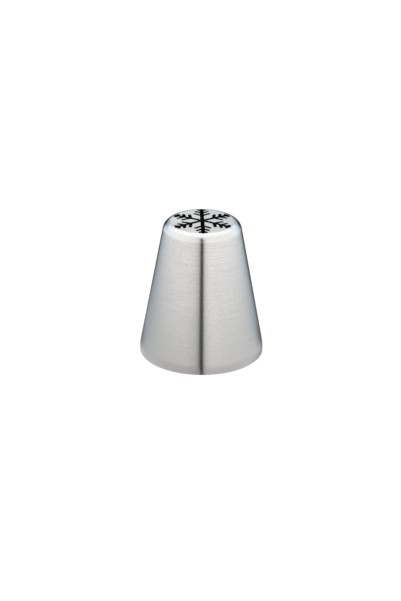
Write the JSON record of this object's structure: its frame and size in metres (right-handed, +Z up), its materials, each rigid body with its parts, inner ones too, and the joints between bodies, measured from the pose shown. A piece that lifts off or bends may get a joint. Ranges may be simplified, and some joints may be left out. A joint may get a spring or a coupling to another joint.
{
  "type": "piping nozzle",
  "caption": "Large conical piping nozzle of brushed stainless sheet, open at its wide base, with a rounded shoulder and a gently domed face pierced by a snowflake.",
  "frame": {"origin": "centre of the rim at the wide end, on the plane that the nozzle stands on", "axes": "+Z up the nozzle's axis from the open base to the pierced face; one arm of the snowflake points along +Y"},
  "size_m": [0.031, 0.031, 0.035],
  "materials": {
    "cone_steel": "brushed round the axis, satin",
    "crown_steel": "brushed round the axis, smoother on the face"
  },
  "bodies": {
    "root": {"cone_wall": "cone_steel", "snowflake_crown": "crown_steel"}
  },
  "joints": []
}
